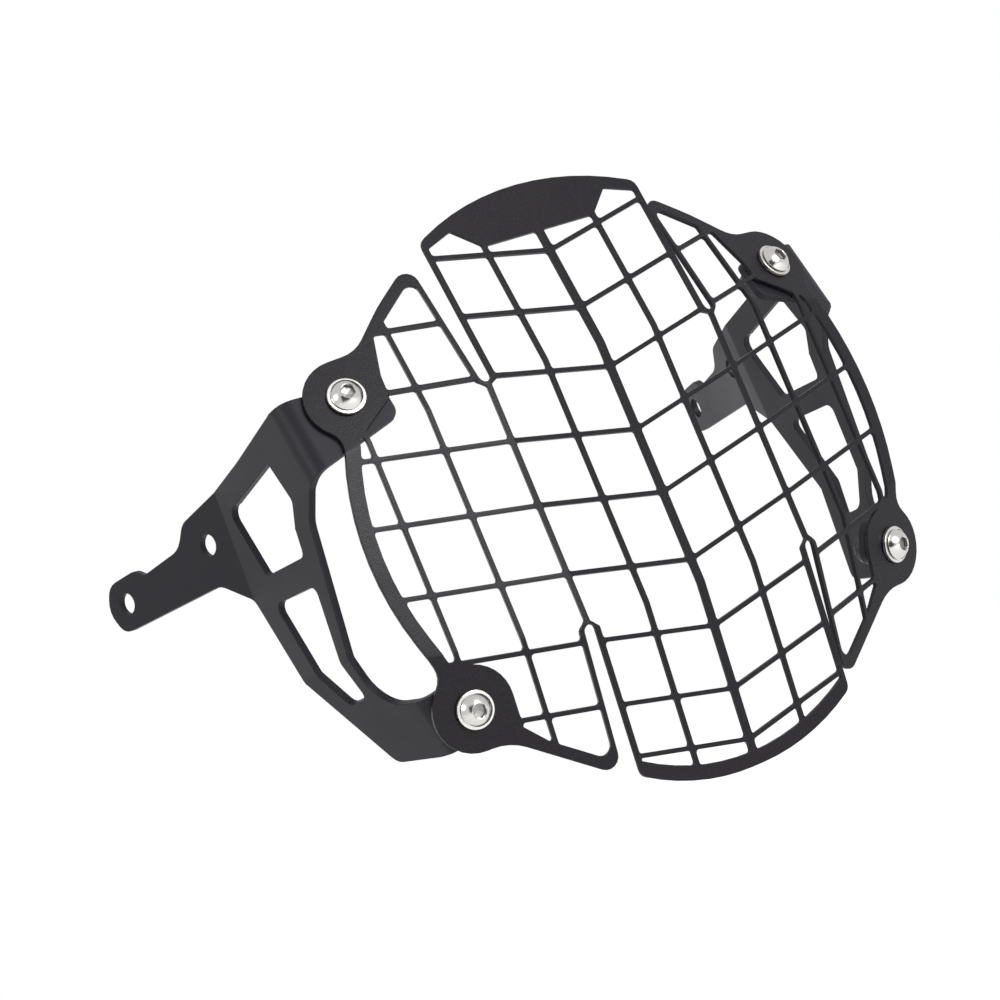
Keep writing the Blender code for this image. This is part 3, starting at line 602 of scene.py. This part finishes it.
blue_nylon = nylon_finish()
for corner in CORNERS:
    place = turned_place(f"{corner}_nut_insert", -screw_axis(corner))
    turned_piece(nylon_ring(), f"{corner}_nylon_ring", place, blue_nylon,
                 f"{corner}_nut_insert")


# Studio. A plain pale floor lies well below the guard in a white room, with soft lamps in
# front, at the side and behind. A dark card behind the camera gives the polished metal
# something to mirror, as a studio flag does.
GUARD_MIDDLE = Vector((0, -0.06, 0))
WHITE = (1, 1, 1, 1)

FLOOR_REACH = 30.0
FLOOR_DROP = 0.42
FLOOR_PALE = (0.80, 0.80, 0.80, 1)
FLOOR_ROUGH = 0.9
FLOOR_GLOW = 0.82
ROOM_LEVEL = 0.26

CARD_SIZE = 1.1
CARD_DISTANCE = 1.25
FELT_BLACK = (0.02, 0.02, 0.02, 1)
FELT_ROUGH = 0.9

CAMERA_SPOT = Vector((-0.58071, -0.92111, -0.10166))
CAMERA_TURN = (95.2483, 22.4154, -31.3579)
CAMERA_LENS = 114.77
CAMERA_SENSOR = 36

scene = bpy.context.scene
scene.view_settings.view_transform = "Standard"


# A square panel, turned and placed.
def square_panel(name, half_side, place):
    work = bmesh.new()
    bmesh.ops.create_grid(work, x_segments=1, y_segments=1, size=half_side)
    bmesh.ops.transform(work, matrix=place, verts=work.verts)
    mesh = bpy.data.meshes.new(name)
    work.to_mesh(mesh)
    work.free()
    return new_object(name, mesh)


# Is 1 for the rays by which the picture shows a surface, straight on, in metal or through glass.
def shown_rays(nodes, links):
    rays = nodes.new("ShaderNodeLightPath")
    value = rays.outputs["Is Camera Ray"]
    for label in ("Is Glossy Ray", "Is Transmission Ray"):
        both = nodes.new("ShaderNodeMath")
        both.operation = "MAXIMUM"
        links.new(value, both.inputs[0])
        links.new(rays.outputs[label], both.inputs[1])
        value = both.outputs["Value"]
    return value


# A round soft lamp that looks at the guard's middle.
def soft_lamp(name, spot, size, power):
    lamp = bpy.data.lights.new(name, "AREA")
    lamp.shape = "DISK"
    lamp.size = size
    lamp.energy = power
    holder = new_object(name, lamp)
    holder.visible_camera = False
    holder.location = spot
    holder.rotation_euler = (GUARD_MIDDLE - Vector(spot)).to_track_quat("-Z", "Y").to_euler()


floor = square_panel("studio_floor", FLOOR_REACH, Matrix.Translation((0, 0, -FLOOR_DROP)))
pale, nodes, links, ground = new_finish("pale_floor")
ground.inputs["Base Color"].default_value = FLOOR_PALE
ground.inputs["Roughness"].default_value = FLOOR_ROUGH
ground.inputs["Emission Color"].default_value = WHITE
glow = nodes.new("ShaderNodeMath")
glow.operation = "MULTIPLY"
glow.inputs[1].default_value = FLOOR_GLOW
links.new(shown_rays(nodes, links), glow.inputs[0])
links.new(glow.outputs["Value"], ground.inputs["Emission Strength"])
floor.data.materials.append(pale)

room = bpy.data.worlds.new("studio_room")
scene.world = room
room.use_nodes = True
nodes, links = room.node_tree.nodes, room.node_tree.links
wall = nodes["Background"]
wall.inputs["Color"].default_value = WHITE
level = nodes.new("ShaderNodeMapRange")
level.inputs["To Min"].default_value = ROOM_LEVEL
level.inputs["To Max"].default_value = 1.0
links.new(shown_rays(nodes, links), level.inputs["Value"])
links.new(level.outputs["Result"], wall.inputs["Strength"])

soft_lamp("key_lamp", spot=(0.10, -1.45, 0.42), size=0.8, power=20)
soft_lamp("side_lamp", spot=(-1.4, -0.1, 0.6), size=0.6, power=6)
soft_lamp("back_lamp", spot=(-0.4, 1.5, 0.15), size=0.7, power=2.2)

towards = CAMERA_SPOT - GUARD_MIDDLE
card_turn = towards.to_track_quat("Z", "Y").to_matrix().to_4x4()
card_turn.translation = towards.normalized() * CARD_DISTANCE + GUARD_MIDDLE
card = square_panel("dark_card", CARD_SIZE / 2, card_turn)
card.visible_camera = False
felt, _, _, nap = new_finish("black_felt")
nap.inputs["Base Color"].default_value = FELT_BLACK
nap.inputs["Roughness"].default_value = FELT_ROUGH
card.data.materials.append(felt)

camera = new_object("camera", bpy.data.cameras.new("camera"))
camera.data.lens = CAMERA_LENS
camera.data.sensor_width = CAMERA_SENSOR
camera.location = CAMERA_SPOT
camera.rotation_euler = [math.radians(a) for a in CAMERA_TURN]
scene.camera = camera
